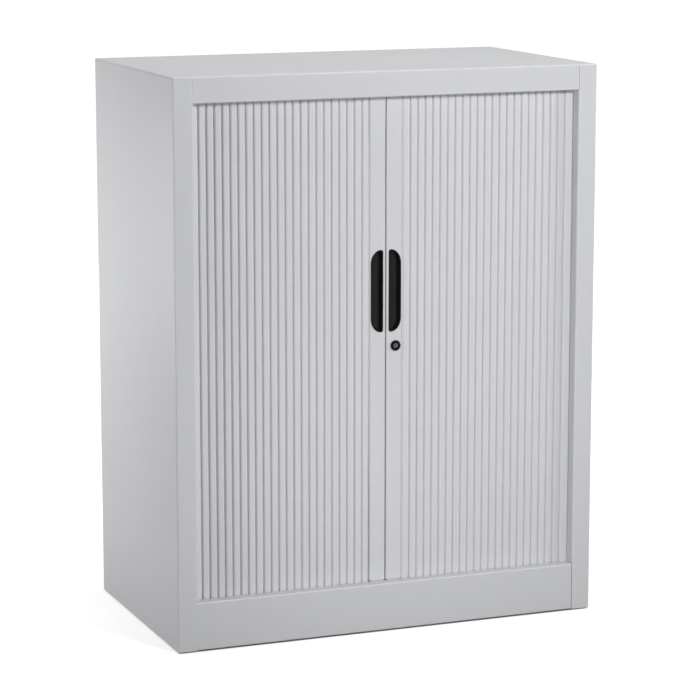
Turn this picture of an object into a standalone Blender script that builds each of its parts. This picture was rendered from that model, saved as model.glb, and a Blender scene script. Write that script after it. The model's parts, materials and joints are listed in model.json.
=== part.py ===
"""A steel tambour door cabinet, built piece by piece as it would come apart on a bench.

Two ribbed curtains close the front. Each hangs on a stiff lead stile with a recessed grip, runs in a
track above and below, and bends round the front corner into the hollow side wall. Metres, +Z up.
+X is to the right of someone facing the doors and +Y points to the back. The origin is on the floor,
under the middle of the cabinet.
"""

import math

import bmesh
import bpy
from mathutils import Matrix, Vector

# Overall size
CABINET_WIDTH = 0.800
CABINET_DEPTH = 0.460
CABINET_HEIGHT = 1.010
FLOOR_GAP = 0.0025

# Fits and tool overruns that every piece shares
SEAT_GAP = 0.0003
CUT_OVERRUN = 0.0030
WELD_DISTANCE = 0.000001

# Carcass sheet and its folds
CARCASS_SHEET = 0.0010
BEND_RADIUS = 0.0015
BEND_STEPS = 3

# Side panels: a stile is folded from each at the front, a flange at the back
STILE_WIDTH = 0.0360
STILE_LIP = 0.0100
REAR_FLANGE = 0.0250

# Top panel with its header, and the plinth
TOP_LIP = 0.0030
TOP_SEAM_OVERLAP = 0.0003
HEADER_HEIGHT = 0.0460
HEADER_BACK_FOLD = 0.0260
TOP_REAR_FLANGE = 0.0220
PLINTH_HEIGHT = 0.0890
PLINTH_BACK_FOLD = 0.0290
PLINTH_BOTTOM_FOLD = 0.0160
BASE_FLANGE = 0.0250

# Back panel: border strips lie against the rear flanges, the field is pressed in between ribs
BACK_BORDER = 0.0300
BACK_RIB_DEPTH = 0.0030
BACK_RIB_WIDTH = 0.0400
BACK_RIB_SLOPE = 0.0040
BACK_RIB_BEND = 0.0010
BACK_RIB_SHARES = (-0.45, 0.0, 0.45)

# Curtains: stiff ribs joined by thin webs
DOOR_RECESS = 0.0228
CURTAIN_THICKNESS = 0.0070
RIB_PITCH = 0.01435
RIB_GROOVE_WIDTH = 0.0030
RIB_SHOULDER_RUN = 0.0012
RIB_SHOULDER_DROP = 0.0006
HINGE_WEB = 0.0010
HINGE_NOTCH_DEPTH = 0.0022
HINGE_NOTCH_WIDTH = 0.0028
CURTAIN_TAIL = 0.0240
CURTAIN_LIFT_ROOM = 0.0030

# Guide tracks: channels that turn the front corners
TRACK_CLEARANCE = 0.0007
TRACK_WALL = 0.0020
TRACK_FLOOR = 0.0025
TRACK_HEIGHT = 0.0115
TRACK_BEND_RADIUS = 0.0290
TRACK_BEND_STEPS = 10
TRACK_SIDE_GAP = 0.0007
TRACK_REAR_ROOM = 0.0200
TOP_TRACK_SETBACK = 0.0010
TRACK_MIDDLE_GAP = 0.0003

# Lead stiles and the shoes that guide them
LEAD_WIDTH = 0.0306
LEAD_DEPTH = 0.0160
LEAD_MEETING_GAP = 0.0014
LEAD_WALL = 0.0015
LEAD_BEND = 0.0006
LEAD_LIP = 0.0055
LEAD_END_ROOM = 0.0012
SHOE_PLUG_LENGTH = 0.0140
SHOE_SIDE_CLEARANCE = 0.0005
SHOE_TONGUE_END = 0.0030

# Grip cups, one pressed into each lead stile
GRIP_HEIGHT = 0.1480
GRIP_CENTRE_Z = 0.6180
GRIP_INNER_MARGIN = 0.0046
GRIP_OUTER_MARGIN = 0.0023
GRIP_TIP_RADIUS = 0.0040
GRIP_CORNER_HEIGHT = 0.0255
GRIP_CORNER_STEPS = 7
GRIP_TIP_STEPS = 3
GRIP_BEZEL = 0.0006
GRIP_BEZEL_OVERLAP = 0.0011
GRIP_BACK_ROOM = 0.0025
GRIP_RIM = 0.0007
GRIP_FLOOR = 0.0014
GRIP_BOWL_STEPS = 5
GRIP_BOWL_INSET_SHARE = 0.36

# Lock in the right lead stile, and the strike in the left one
LOCK_BELOW_GRIP = 0.0253
LOCK_OFF_GRIP = 0.0013
LOCK_RING_RADIUS = 0.0092
LOCK_RING_HEIGHT = 0.0032
LOCK_RING_BEVEL = 0.0010
LOCK_BARREL_RADIUS = 0.0072
LOCK_BORE_RADIUS = 0.0057
LOCK_BARREL_ROOM = 0.0009
LOCK_RUNNING_GAP = 0.0003
LOCK_PLUG_RECESS = 0.0004
LOCK_SIDES = 24
KEYWAY_WIDTH = 0.0016
KEYWAY_HEIGHT = 0.0068
KEYWAY_DEPTH = 0.0060
LOCK_TANG = 0.0050
LOCK_NUT_RADIUS = 0.0104
LOCK_NUT_HEIGHT = 0.0030
HOOK_SHEET = 0.0030
HOOK_HUB_RADIUS = 0.0066
HOOK_ARM_WIDTH = 0.0050
HOOK_TOE_WIDTH = 0.0042
HOOK_TOE_DEGREES = 12
HOOK_TOE_STEPS = 3
HOOK_HUB_STEPS = 10
HOOK_REACH_CLEARANCE = 0.0011
HOOK_BACK_ROOM = 0.0019
HOOK_SLOT_CLEARANCE = 0.0010
HOOK_SCREW_RADIUS = 0.0015
HOOK_SCREW_HEAD_RADIUS = 0.0040
HOOK_SCREW_HEAD_HEIGHT = 0.0014
STRIKE_SHEET = 0.0012
STRIKE_ABOVE = 0.0180
STRIKE_BELOW = 0.0300

# Liners, shelf uprights, shelves and their clips
LINER_FLANGE = 0.0320
LINER_HEM = 0.0100
LINER_REAR_FLANGE = 0.0150
LEAD_TO_LINER = 0.0010
UPRIGHT_WIDTH = 0.0220
UPRIGHT_DEPTH = 0.0070
UPRIGHT_SHEET = 0.0012
UPRIGHT_END_MARGIN = 0.0120
UPRIGHT_FRONT_INSET = 0.0450
UPRIGHT_REAR_INSET = 0.0600
SLOT_WIDTH = 0.0130
SLOT_HEIGHT = 0.0034
SLOT_PITCH = 0.0320
SLOT_END_MARGIN = 0.0400
CLIP_SHEET = 0.0020
CLIP_WIDTH = 0.0110
CLIP_LEDGE = 0.0110
CLIP_LEG = 0.0150
CLIP_HOOK = 0.0036
SHELF_SHARES = (0.34, 0.66)
SHELF_FLANGE = 0.0240
SHELF_END_CLEARANCE = 0.0010
SHELF_FRONT_ROOM = 0.0060
SHELF_REAR_ROOM = 0.0050

# Levelling feet
FOOT_SIDE_INSET = 0.0600
FOOT_FRONT_INSET = 0.0750
FOOT_REAR_INSET = 0.0600
FOOT_PAD_RADIUS = 0.0180
FOOT_PAD_TOP_RADIUS = 0.0110
FOOT_PAD_HEIGHT = 0.0100
FOOT_PAD_RIM = 0.0030
FOOT_PAD_FLOOR = 0.0040
FOOT_STEM_RADIUS = 0.0040
FOOT_STEM_HEADROOM = 0.0100
FOOT_COLLAR_RADIUS = 0.0080
FOOT_COLLAR_HEIGHT = 0.0060
FOOT_COLLAR_TOP = 0.0320
FOOT_SIDES = 12
FOOT_NUT_RADIUS = 0.0075
FOOT_NUT_HEIGHT = 0.0065
FOOT_RUNNING_GAP = 0.0003
ADJUSTER_HOLE_RADIUS = 0.0065
BRACKET_SHEET = 0.0020
BRACKET_LENGTH = 0.0400
BRACKET_REACH = 0.0200
BRACKET_WEB_OFFSET = 0.0200

# Planes that several pieces share
SIDE_X = CABINET_WIDTH / 2
FRONT_Y = -CABINET_DEPTH / 2
BACK_Y = CABINET_DEPTH / 2
STILE_X = SIDE_X - STILE_WIDTH
SKIN_INSIDE_X = SIDE_X - CARCASS_SHEET
DOOR_FACE_Y = FRONT_Y + DOOR_RECESS
TRACK_GROOVE = CURTAIN_THICKNESS + 2 * TRACK_CLEARANCE
TRACK_HALF = TRACK_GROOVE / 2 + TRACK_WALL
CURTAIN_Y = DOOR_FACE_Y + CURTAIN_THICKNESS / 2
TRACK_FRONT_Y = CURTAIN_Y - TRACK_HALF
STILE_BACK_Y = TRACK_FRONT_Y - SEAT_GAP
SIDE_RUN_X = SKIN_INSIDE_X - TRACK_SIDE_GAP - TRACK_HALF
BEND_X = SIDE_RUN_X - TRACK_BEND_RADIUS
BEND_Y = CURTAIN_Y + TRACK_BEND_RADIUS
HEADER_BOTTOM_Z = CABINET_HEIGHT - HEADER_HEIGHT
SIDE_TOP_Z = CABINET_HEIGHT - TOP_LIP - SEAT_GAP
DECK_Z = PLINTH_HEIGHT - TRACK_HEIGHT - SEAT_GAP
TOP_TRACK_Z = HEADER_BOTTOM_Z + TOP_TRACK_SETBACK
CEILING_Z = TOP_TRACK_Z + TRACK_HEIGHT + SEAT_GAP
BACK_PANEL_Y = BACK_Y - CARCASS_SHEET - SEAT_GAP
TRAY_BACK_Y = BACK_PANEL_Y - CARCASS_SHEET - BACK_RIB_DEPTH - SEAT_GAP
TRAY_SIDE_X = SKIN_INSIDE_X - SEAT_GAP
TRAY_FRONT_Y = TRACK_FRONT_Y
LEAD_IN_X = LEAD_MEETING_GAP / 2
LEAD_OUT_X = LEAD_IN_X + LEAD_WIDTH
LEAD_BACK_Y = DOOR_FACE_Y + LEAD_DEPTH
LEAD_BOTTOM_Z = PLINTH_HEIGHT + LEAD_END_ROOM
LEAD_TOP_Z = TOP_TRACK_Z - LEAD_END_ROOM
GRIP_IN_X = LEAD_IN_X + GRIP_INNER_MARGIN
GRIP_OUT_X = LEAD_OUT_X - GRIP_OUTER_MARGIN
LOCK_X = (GRIP_IN_X + GRIP_OUT_X) / 2 + LOCK_OFF_GRIP
LOCK_Z = GRIP_CENTRE_Z - GRIP_HEIGHT / 2 - LOCK_BELOW_GRIP
HOOK_BACK_Y = LEAD_BACK_Y - LEAD_WALL - HOOK_BACK_ROOM
HOOK_FRONT_Y = HOOK_BACK_Y - HOOK_SHEET
STRIKE_FACE_X = LEAD_IN_X + LEAD_WALL + SEAT_GAP
HOOK_TOE_RADIUS = LOCK_X + STRIKE_FACE_X + STRIKE_SHEET + HOOK_REACH_CLEARANCE
LINER_X = SIDE_RUN_X - TRACK_HALF - SEAT_GAP
LINER_FRONT_Y = LEAD_BACK_Y + LEAD_TO_LINER
LINER_HOLLOW_X = LINER_X - CARCASS_SHEET
UPRIGHT_FACE_X = LINER_HOLLOW_X - SEAT_GAP - UPRIGHT_DEPTH

LEFT, RIGHT = -1, 1
SIDES = {"left": LEFT, "right": RIGHT}


def material(name, colour, roughness, metallic=0.0):
    """A plain Principled material."""
    made = bpy.data.materials.new(name)
    made.use_nodes = True
    shader = made.node_tree.nodes["Principled BSDF"]
    shader.inputs["Base Color"].default_value = (*colour, 1)
    shader.inputs["Roughness"].default_value = roughness
    shader.inputs["Metallic"].default_value = metallic
    return made


def paint():
    """Light grey powder coat."""
    return material("grey_powder_coat", (0.60, 0.605, 0.61), 0.45)


def ribbed_plastic():
    """Light grey extruded plastic of the curtains and tracks."""
    return material("grey_extrusion", (0.61, 0.615, 0.62), 0.40)


def lead_finish():
    """Light grey coated aluminium of the lead stiles."""
    return material("grey_lead_stile", (0.62, 0.625, 0.63), 0.38)


def black_plastic():
    """Moulded black plastic of grips, shoes and foot pads."""
    return material("black_moulding", (0.012, 0.012, 0.013), 0.42)


def plated_steel():
    """Zinc-plated small parts."""
    return material("zinc_plate", (0.55, 0.55, 0.56), 0.35, 1.0)


def empty(name, location):
    """An unseen holder on a joint's axis."""
    holder = bpy.data.objects.new(name, None)
    holder.location = location
    bpy.context.scene.collection.objects.link(holder)
    return holder


def piece(name, shape, finish, holder=None, mirrored=False):
    """Turns a closed bmesh into a named object, in place or mirrored to the other side of the cabinet."""
    if mirrored:
        bmesh.ops.scale(shape, vec=(-1, 1, 1), verts=shape.verts)
    if holder:
        bmesh.ops.translate(shape, vec=-holder.location, verts=shape.verts)
    bmesh.ops.recalc_face_normals(shape, faces=shape.faces)
    order = Vector((1, math.sqrt(2), math.pi))
    shape.verts.sort(key=lambda vert: vert.co.dot(order))
    shape.faces.sort(key=lambda face: face.calc_center_median().dot(order))
    mesh = bpy.data.meshes.new(name)
    shape.to_mesh(mesh)
    shape.free()
    mesh.materials.append(finish)
    made = bpy.data.objects.new(name, mesh)
    made.parent = holder
    bpy.context.scene.collection.objects.link(made)
    return made


def smooth(made, degrees=35):
    """Shades a round piece smooth, apart from its real edges."""
    made.data.shade_smooth()
    made.data.set_sharp_from_angle(angle=math.radians(degrees))
    return made


def copies(first, places):
    """Places more objects that share the first one's mesh; places gives name, location and turn about Z."""
    for name, location, turn in places:
        other = bpy.data.objects.new(name, first.data)
        other.location = location
        other.rotation_euler.z = turn
        bpy.context.scene.collection.objects.link(other)


def combined(base, tool, operation, solver="EXACT"):
    """The bmesh base with a bmesh tool cut away from it, or joined to it."""
    stock = piece("stock", base, bpy.data.materials[0])
    cutter = piece("cutter", tool, bpy.data.materials[0])
    cutter.hide_render = True
    cutter.display_type = "WIRE"
    modifier = stock.modifiers.new("shape", "BOOLEAN")
    modifier.operation = operation
    modifier.solver = solver
    modifier.object = cutter
    bpy.context.view_layer.update()
    result = bmesh.new()
    result.from_object(stock, bpy.context.evaluated_depsgraph_get())
    bpy.data.objects.remove(stock)
    bpy.data.objects.remove(cutter)
    return result


def cut(base, *tools, solver="EXACT"):
    """Cuts each tool away in turn."""
    for tool in tools:
        base = combined(base, tool, "DIFFERENCE", solver)
    return base


def joined(base, *tools):
    """Joins each tool on in turn."""
    for tool in tools:
        base = combined(base, tool, "UNION")
    return base


def rounded(points, radii):
    """A line through points, with an arc of the given radius at each inner corner."""
    line = [points[0]]
    for before, corner, after, radius in zip(points, points[1:], points[2:], radii):
        back = (before - corner).normalized()
        on = (after - corner).normalized()
        half_corner = back.angle(on) / 2
        centre = corner + (back + on).normalized() * radius / math.sin(half_corner)
        start = corner + back * radius / math.tan(half_corner) - centre
        finish = corner + on * radius / math.tan(half_corner) - centre
        first = math.atan2(start.y, start.x)
        sweep = (math.atan2(finish.y, finish.x) - first + math.pi) % math.tau - math.pi
        for step in range(BEND_STEPS + 1):
            angle = first + sweep * step / BEND_STEPS
            line.append(centre + radius * Vector((math.cos(angle), math.sin(angle))))
    line.append(points[-1])
    return line


def folded(path, sheet=CARCASS_SHEET, bends=None):
    """The outline of a folded sheet: path is one face's sharp corners, and the metal is on its right."""
    points = [Vector(point) for point in path]
    bends = bends or [BEND_RADIUS] * (len(points) - 2)
    ways = [(after - before).normalized() for before, after in zip(points, points[1:])]
    rights = [Vector((way.y, -way.x)) for way in ways]
    other = [points[0] + rights[0] * sheet]
    for corner, first, second in zip(points[1:], rights, rights[1:]):
        other.append(corner + (first + second) * sheet / (1 + first.dot(second)))
    other.append(points[-1] + rights[-1] * sheet)
    near, far = [], []
    for first, second, bend in zip(ways, ways[1:], bends):
        turns_right = first.x * second.y - first.y * second.x < 0
        near.append(bend + sheet if turns_right else bend)
        far.append(bend if turns_right else bend + sheet)
    return rounded(points, near) + rounded(other, far)[::-1]


def arc(centre, radii, start, end, steps):
    """Points along an ellipse's arc, from one angle in degrees to another."""
    angles = [math.radians(start + (end - start) * step / steps) for step in range(steps + 1)]
    return [(centre[0] + radii[0] * math.cos(a), centre[1] + radii[1] * math.sin(a)) for a in angles]


def prism(outline, along, start, end):
    """A flat outline pushed along one axis; the outline's pair is the other two axes, in X, Y, Z order."""
    spot = "xyz".index(along)
    shape = bmesh.new()
    corners = []
    for first, second in outline:
        place = [first, second]
        place.insert(spot, start)
        corners.append(shape.verts.new(place))
    face = shape.faces.new(corners)
    push = Vector()
    push[spot] = end - start
    grow(shape, face, push)
    bmesh.ops.recalc_face_normals(shape, faces=shape.faces)
    return shape


def grow(shape, face, push):
    """Extrudes a face by a vector and returns the face at the far end."""
    grown = bmesh.ops.extrude_face_region(shape, geom=[face, *face.edges])["geom"]
    bmesh.ops.translate(shape, vec=push, verts=[v for v in grown if isinstance(v, bmesh.types.BMVert)])
    return next(f for f in grown if isinstance(f, bmesh.types.BMFace))


def block(low, high):
    """A box between two corners."""
    low, high = Vector(low), Vector(high)
    shape = bmesh.new()
    size = Matrix.Diagonal((*(high - low), 1))
    bmesh.ops.create_cube(shape, size=1, matrix=Matrix.Translation((low + high) / 2) @ size)
    return shape


def tray(low, high, opening, sheet=CARCASS_SHEET, bend=BEND_RADIUS):
    """A sheet with four folded flanges: a box open at its top (opening 1) or its bottom (-1)."""
    shape = block(low, high)
    upright = [e for e in shape.edges if abs(e.verts[0].co.z - e.verts[1].co.z) > abs(high[2] - low[2]) / 2]
    closed_z = low[2] if opening > 0 else high[2]
    around = [e for e in shape.edges if all(abs(v.co.z - closed_z) < WELD_DISTANCE for v in e.verts)]
    bmesh.ops.bevel(shape, geom=upright + around, offset=bend + sheet, affect="EDGES",
                    segments=BEND_STEPS, profile=0.5, material=-1)
    mouth = max(shape.faces, key=lambda face: opening * face.calc_center_median().z)
    bmesh.ops.inset_region(shape, faces=[mouth], thickness=sheet, use_even_offset=True, use_boundary=True)
    grow(shape, mouth, Vector((0, 0, -opening * (high[2] - low[2] - sheet))))
    return shape


def lofted(rings):
    """A closed body through rings of as many points each."""
    shape = bmesh.new()
    loops = [[shape.verts.new(point) for point in ring] for ring in rings]
    for here, there in zip(loops, loops[1:]):
        for a, b, c, d in zip(here, here[1:] + here[:1], there[1:] + there[:1], there):
            shape.faces.new((a, b, c, d))
    shape.faces.new(loops[0])
    shape.faces.new(loops[-1])
    return shape


def turned(profile, sides, centre, along="z"):
    """Spins a profile of (radius, height) pairs round a line through centre."""
    shape = bmesh.new()
    verts = [shape.verts.new((radius, 0, height)) for radius, height in profile]
    edges = [shape.edges.new(pair) for pair in zip(verts, verts[1:])]
    if profile[0][0] > 0:
        edges.append(shape.edges.new((verts[-1], verts[0])))
    bmesh.ops.spin(shape, geom=verts + edges, cent=(0, 0, 0), axis=(0, 0, 1), angle=math.tau,
                   steps=sides, use_merge=True)
    bmesh.ops.remove_doubles(shape, verts=shape.verts, dist=WELD_DISTANCE)
    if along == "y":
        bmesh.ops.rotate(shape, verts=shape.verts, matrix=Matrix.Rotation(-math.pi / 2, 3, "X"))
    bmesh.ops.translate(shape, vec=centre, verts=shape.verts)
    bmesh.ops.recalc_face_normals(shape, faces=shape.faces)
    return shape


def nut(radius, hole_radius, height, centre, along):
    """A hexagon nut with a plain hole, from centre on along its axis."""
    body = turned([(0, 0), (radius, 0), (radius, height), (0, height)], 6, centre, along)
    hole = [(0, -CUT_OVERRUN), (hole_radius, -CUT_OVERRUN), (hole_radius, height + CUT_OVERRUN),
            (0, height + CUT_OVERRUN)]
    return cut(body, turned(hole, FOOT_SIDES, centre, along))


def side_panel(side, finish):
    """One sheet: rear flange, outer skin, front stile, its return into the opening and a stiffening lip."""
    path = [
        (SIDE_X - REAR_FLANGE, BACK_Y),
        (SIDE_X, BACK_Y),
        (SIDE_X, FRONT_Y),
        (STILE_X, FRONT_Y),
        (STILE_X, STILE_BACK_Y),
        (STILE_X + STILE_LIP, STILE_BACK_Y),
    ]
    shape = prism(folded(path), "z", FLOOR_GAP, SIDE_TOP_Z)
    return piece(f"side_panel_{side}", shape, finish, mirrored=SIDES[side] == LEFT)


def top_panel(finish):
    """A lid with a shallow lip, the header folded down between the stiles and a flange at the back."""
    lid = tray((-SIDE_X, FRONT_Y, CABINET_HEIGHT - TOP_LIP), (SIDE_X, BACK_Y, CABINET_HEIGHT), -1)
    overlap_z = CABINET_HEIGHT - TOP_LIP + TOP_SEAM_OVERLAP
    header_path = [
        (STILE_BACK_Y, HEADER_BOTTOM_Z + HEADER_BACK_FOLD),
        (STILE_BACK_Y, HEADER_BOTTOM_Z),
        (FRONT_Y, HEADER_BOTTOM_Z),
        (FRONT_Y, overlap_z),
    ]
    header_x = STILE_X - SEAT_GAP
    header = prism(folded(header_path), "x", -header_x, header_x)
    flange_x = SIDE_X - REAR_FLANGE - SEAT_GAP
    flange = block((-flange_x, BACK_Y - CARCASS_SHEET, CABINET_HEIGHT - TOP_REAR_FLANGE),
                   (flange_x, BACK_Y, overlap_z))
    return piece("top_panel", joined(lid, header, flange), finish)


def plinth_panel(finish):
    """The front of the base: bottom fold, face, rounded ledge and a fold down behind it."""
    path = [
        (FRONT_Y + PLINTH_BOTTOM_FOLD, FLOOR_GAP),
        (FRONT_Y, FLOOR_GAP),
        (FRONT_Y, PLINTH_HEIGHT),
        (STILE_BACK_Y, PLINTH_HEIGHT),
        (STILE_BACK_Y, PLINTH_HEIGHT - PLINTH_BACK_FOLD),
    ]
    plinth_x = STILE_X - SEAT_GAP
    return piece("plinth_panel", prism(folded(path), "x", -plinth_x, plinth_x), finish)


def base_panel(finish):
    """The cupboard's floor: a tray with its flanges down and a hole above each foot, for levelling it."""
    shape = tray((-TRAY_SIDE_X, TRAY_FRONT_Y, DECK_Z - BASE_FLANGE), (TRAY_SIDE_X, TRAY_BACK_Y, DECK_Z), -1)
    holes = [adjuster_hole(spot, DECK_Z - CARCASS_SHEET, DECK_Z) for spot in foot_places().values()]
    return piece("base_panel", cut(shape, *holes), finish)


def inner_top_panel(finish):
    """The cupboard's ceiling: a tray with its flanges up, which carries the upper tracks and the top."""
    lid_z = CABINET_HEIGHT - CARCASS_SHEET - SEAT_GAP
    shape = tray((-TRAY_SIDE_X, TRAY_FRONT_Y, CEILING_Z), (TRAY_SIDE_X, TRAY_BACK_Y, lid_z), 1)
    return piece("inner_top_panel", shape, finish)


def back_panel(finish):
    """A sheet behind the rear flanges, with its field pressed in between upright ribs."""
    edge_x = SKIN_INSIDE_X - BEND_RADIUS - SEAT_GAP
    field_y = BACK_PANEL_Y - BACK_RIB_DEPTH
    field_x = edge_x - BACK_BORDER
    path = [(-edge_x, BACK_PANEL_Y), (-field_x, BACK_PANEL_Y), (-field_x + BACK_RIB_SLOPE, field_y)]
    for share in BACK_RIB_SHARES:
        middle = share * field_x
        half = BACK_RIB_WIDTH / 2
        path += [
            (middle - half - BACK_RIB_SLOPE, field_y),
            (middle - half, BACK_PANEL_Y),
            (middle + half, BACK_PANEL_Y),
            (middle + half + BACK_RIB_SLOPE, field_y),
        ]
    path += [(field_x - BACK_RIB_SLOPE, field_y), (field_x, BACK_PANEL_Y), (edge_x, BACK_PANEL_Y)]
    shape = prism(folded(path, bends=[BACK_RIB_BEND] * (len(path) - 2)), "z", FLOOR_GAP,
                  CABINET_HEIGHT - CARCASS_SHEET - SEAT_GAP)
    return piece("back_panel", shape, finish)


def liner(side, finish):
    """The wall between the storage space and the side hollow; its front corner follows the track's bend."""
    rear_y = BACK_PANEL_Y - CARCASS_SHEET - SEAT_GAP
    path = [
        (LINER_X - LINER_REAR_FLANGE, rear_y),
        (LINER_X, rear_y),
        (LINER_X, LINER_FRONT_Y),
        (LINER_X - LINER_FLANGE, LINER_FRONT_Y),
        (LINER_X - LINER_FLANGE, LINER_FRONT_Y + LINER_HEM),
    ]
    corner_bend = BEND_Y - LINER_FRONT_Y - CARCASS_SHEET
    outline = folded(path, bends=[BEND_RADIUS, corner_bend, BEND_RADIUS])
    shape = prism(outline, "z", DECK_Z + SEAT_GAP, CEILING_Z - SEAT_GAP)
    return piece(f"liner_{side}", shape, finish, mirrored=SIDES[side] == LEFT)


def guide_track(level, side, finish):
    """A plastic channel from the middle of the front, round the corner and back along the side."""
    up = level == "bottom"
    root_z = DECK_Z + SEAT_GAP if up else CEILING_Z - SEAT_GAP
    rise = TRACK_HEIGHT if up else -TRACK_HEIGHT
    floor = TRACK_FLOOR if up else -TRACK_FLOOR
    half = TRACK_GROOVE / 2
    section = [
        (-TRACK_HALF, 0), (TRACK_HALF, 0), (TRACK_HALF, rise), (half, rise),
        (half, floor), (-half, floor), (-half, rise), (-TRACK_HALF, rise),
    ]
    shape = bmesh.new()
    corners = [shape.verts.new((TRACK_MIDDLE_GAP / 2, CURTAIN_Y + y, root_z + z)) for y, z in section]
    end = grow(shape, shape.faces.new(corners), Vector((BEND_X - TRACK_MIDDLE_GAP / 2, 0, 0)))
    bend = bmesh.ops.spin(shape, geom=[end, *end.edges], cent=(BEND_X, BEND_Y, 0), axis=(0, 0, 1),
                          angle=math.pi / 2, steps=TRACK_BEND_STEPS)
    end = next(f for f in bend["geom_last"] if isinstance(f, bmesh.types.BMFace))
    grow(shape, end, Vector((0, TRAY_BACK_Y - TRACK_REAR_ROOM - BEND_Y, 0)))
    return piece(f"guide_track_{level}_{side}", shape, finish, mirrored=SIDES[side] == LEFT)


def curtain_point(along, out):
    """A plan point on the curtain's path: along from its lead edge, and out towards the front or the skin."""
    straight = BEND_X - (LEAD_OUT_X + SEAT_GAP)
    bend_length = TRACK_BEND_RADIUS * math.pi / 2
    if along <= straight:
        return (BEND_X - straight + along, CURTAIN_Y - out)
    if along <= straight + bend_length:
        angle = (along - straight) / TRACK_BEND_RADIUS
        reach = TRACK_BEND_RADIUS + out
        return (BEND_X + reach * math.sin(angle), BEND_Y - reach * math.cos(angle))
    return (SIDE_RUN_X + out, BEND_Y + along - straight - bend_length)


def curtain(side, finish):
    """Upright ribs with sloped shoulders, joined by thin webs that let the sheet turn the corner."""
    length = BEND_X - LEAD_OUT_X + TRACK_BEND_RADIUS * math.pi / 2 + CURTAIN_TAIL
    ribs = round(length / RIB_PITCH)
    face = CURTAIN_THICKNESS / 2
    groove = face - (CURTAIN_THICKNESS - HINGE_WEB - HINGE_NOTCH_DEPTH)
    half_groove = RIB_GROOVE_WIDTH / 2
    shoulder = half_groove + RIB_SHOULDER_RUN
    half_notch = HINGE_NOTCH_WIDTH / 2
    front, back = [], []
    for rib in range(ribs):
        start = rib * RIB_PITCH
        end = start + RIB_PITCH
        front += [
            (start, groove),
            (start + half_groove, face - RIB_SHOULDER_DROP),
            (start + shoulder, face),
            (end - shoulder, face),
            (end - half_groove, face - RIB_SHOULDER_DROP),
        ]
        back += [
            (start, -face + HINGE_NOTCH_DEPTH),
            (start + half_notch, -face),
            ((start + end) / 2, -face),
            (end - half_notch, -face),
        ]
    last = ribs * RIB_PITCH
    front.append((last, groove))
    back.append((last, -face + HINGE_NOTCH_DEPTH))
    outline = [curtain_point(along, out) for along, out in front + back[::-1]]
    bottom_z = DECK_Z + SEAT_GAP + TRACK_FLOOR + SEAT_GAP
    top_z = CEILING_Z - SEAT_GAP - TRACK_FLOOR - CURTAIN_LIFT_ROOM
    shape = prism(outline, "z", bottom_z, top_z)
    return piece(f"curtain_{side}", shape, finish, mirrored=SIDES[side] == LEFT)


def grip_outline(inset):
    """The grip's D, in X and Z: straight beside the meeting line, long round corners on the other side."""
    in_x = GRIP_IN_X + inset
    out_x = GRIP_OUT_X - inset
    left_share = (out_x - in_x) / (GRIP_OUT_X - GRIP_IN_X)
    tip = GRIP_TIP_RADIUS * left_share
    tall = GRIP_CORNER_HEIGHT * left_share
    tip_x = in_x + tip
    wide = out_x - tip_x
    top = GRIP_HEIGHT / 2 - inset
    points = arc((tip_x, top - tip), (tip, tip), 180, 90, GRIP_TIP_STEPS)
    points += arc((tip_x, top - tall), (wide, tall), 90, 0, GRIP_CORNER_STEPS)[1:]
    points += arc((tip_x, tall - top), (wide, tall), 0, -90, GRIP_CORNER_STEPS)
    points += arc((tip_x, tip - top), (tip, tip), -90, -180, GRIP_TIP_STEPS)[1:]
    return [(x, GRIP_CENTRE_Z + z) for x, z in points]


def lead_stile(side, finish, holder):
    """A channel open at the back, cut for the grip, for the lock and for the hook that crosses the gap."""
    path = [
        (LEAD_OUT_X - LEAD_LIP, LEAD_BACK_Y),
        (LEAD_OUT_X, LEAD_BACK_Y),
        (LEAD_OUT_X, DOOR_FACE_Y),
        (LEAD_IN_X, DOOR_FACE_Y),
        (LEAD_IN_X, LEAD_BACK_Y),
        (LEAD_IN_X + LEAD_LIP, LEAD_BACK_Y),
    ]
    shape = prism(folded(path, LEAD_WALL, [LEAD_BEND] * 4), "z", LEAD_BOTTOM_Z, LEAD_TOP_Z)
    face_cut = (DOOR_FACE_Y - CUT_OVERRUN, DOOR_FACE_Y + LEAD_WALL + CUT_OVERRUN)
    grip_hole = prism(grip_outline(GRIP_BEZEL_OVERLAP - SEAT_GAP), "y", *face_cut)
    slot = hook_slot(LEAD_IN_X - CUT_OVERRUN, LEAD_IN_X + LEAD_WALL + CUT_OVERRUN, HOOK_SLOT_CLEARANCE)
    tools = [grip_hole, slot]
    if side == "right":
        radius = LOCK_BARREL_RADIUS + SEAT_GAP
        hole = arc((LOCK_X, LOCK_Z), (radius, radius), 0, 360, LOCK_SIDES)[:-1]
        tools.append(prism(hole, "y", *face_cut))
    shape = cut(shape, *tools, solver="MANIFOLD")
    return piece(f"lead_stile_{side}", shape, finish, holder, mirrored=SIDES[side] == LEFT)


def hook_slot(low_x, high_x, extra):
    """The tool for a slot that the lock's hook swings through, larger all round by extra."""
    swing = math.sqrt((HOOK_TOE_RADIUS + HOOK_TOE_WIDTH) ** 2 - (LOCK_X - LEAD_IN_X) ** 2)
    low = (low_x, HOOK_FRONT_Y - HOOK_SLOT_CLEARANCE, LOCK_Z - swing - HOOK_SLOT_CLEARANCE - extra)
    high = (high_x, HOOK_BACK_Y + HOOK_SLOT_CLEARANCE, LOCK_Z + HOOK_SLOT_CLEARANCE + extra)
    return block(low, high)


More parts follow.
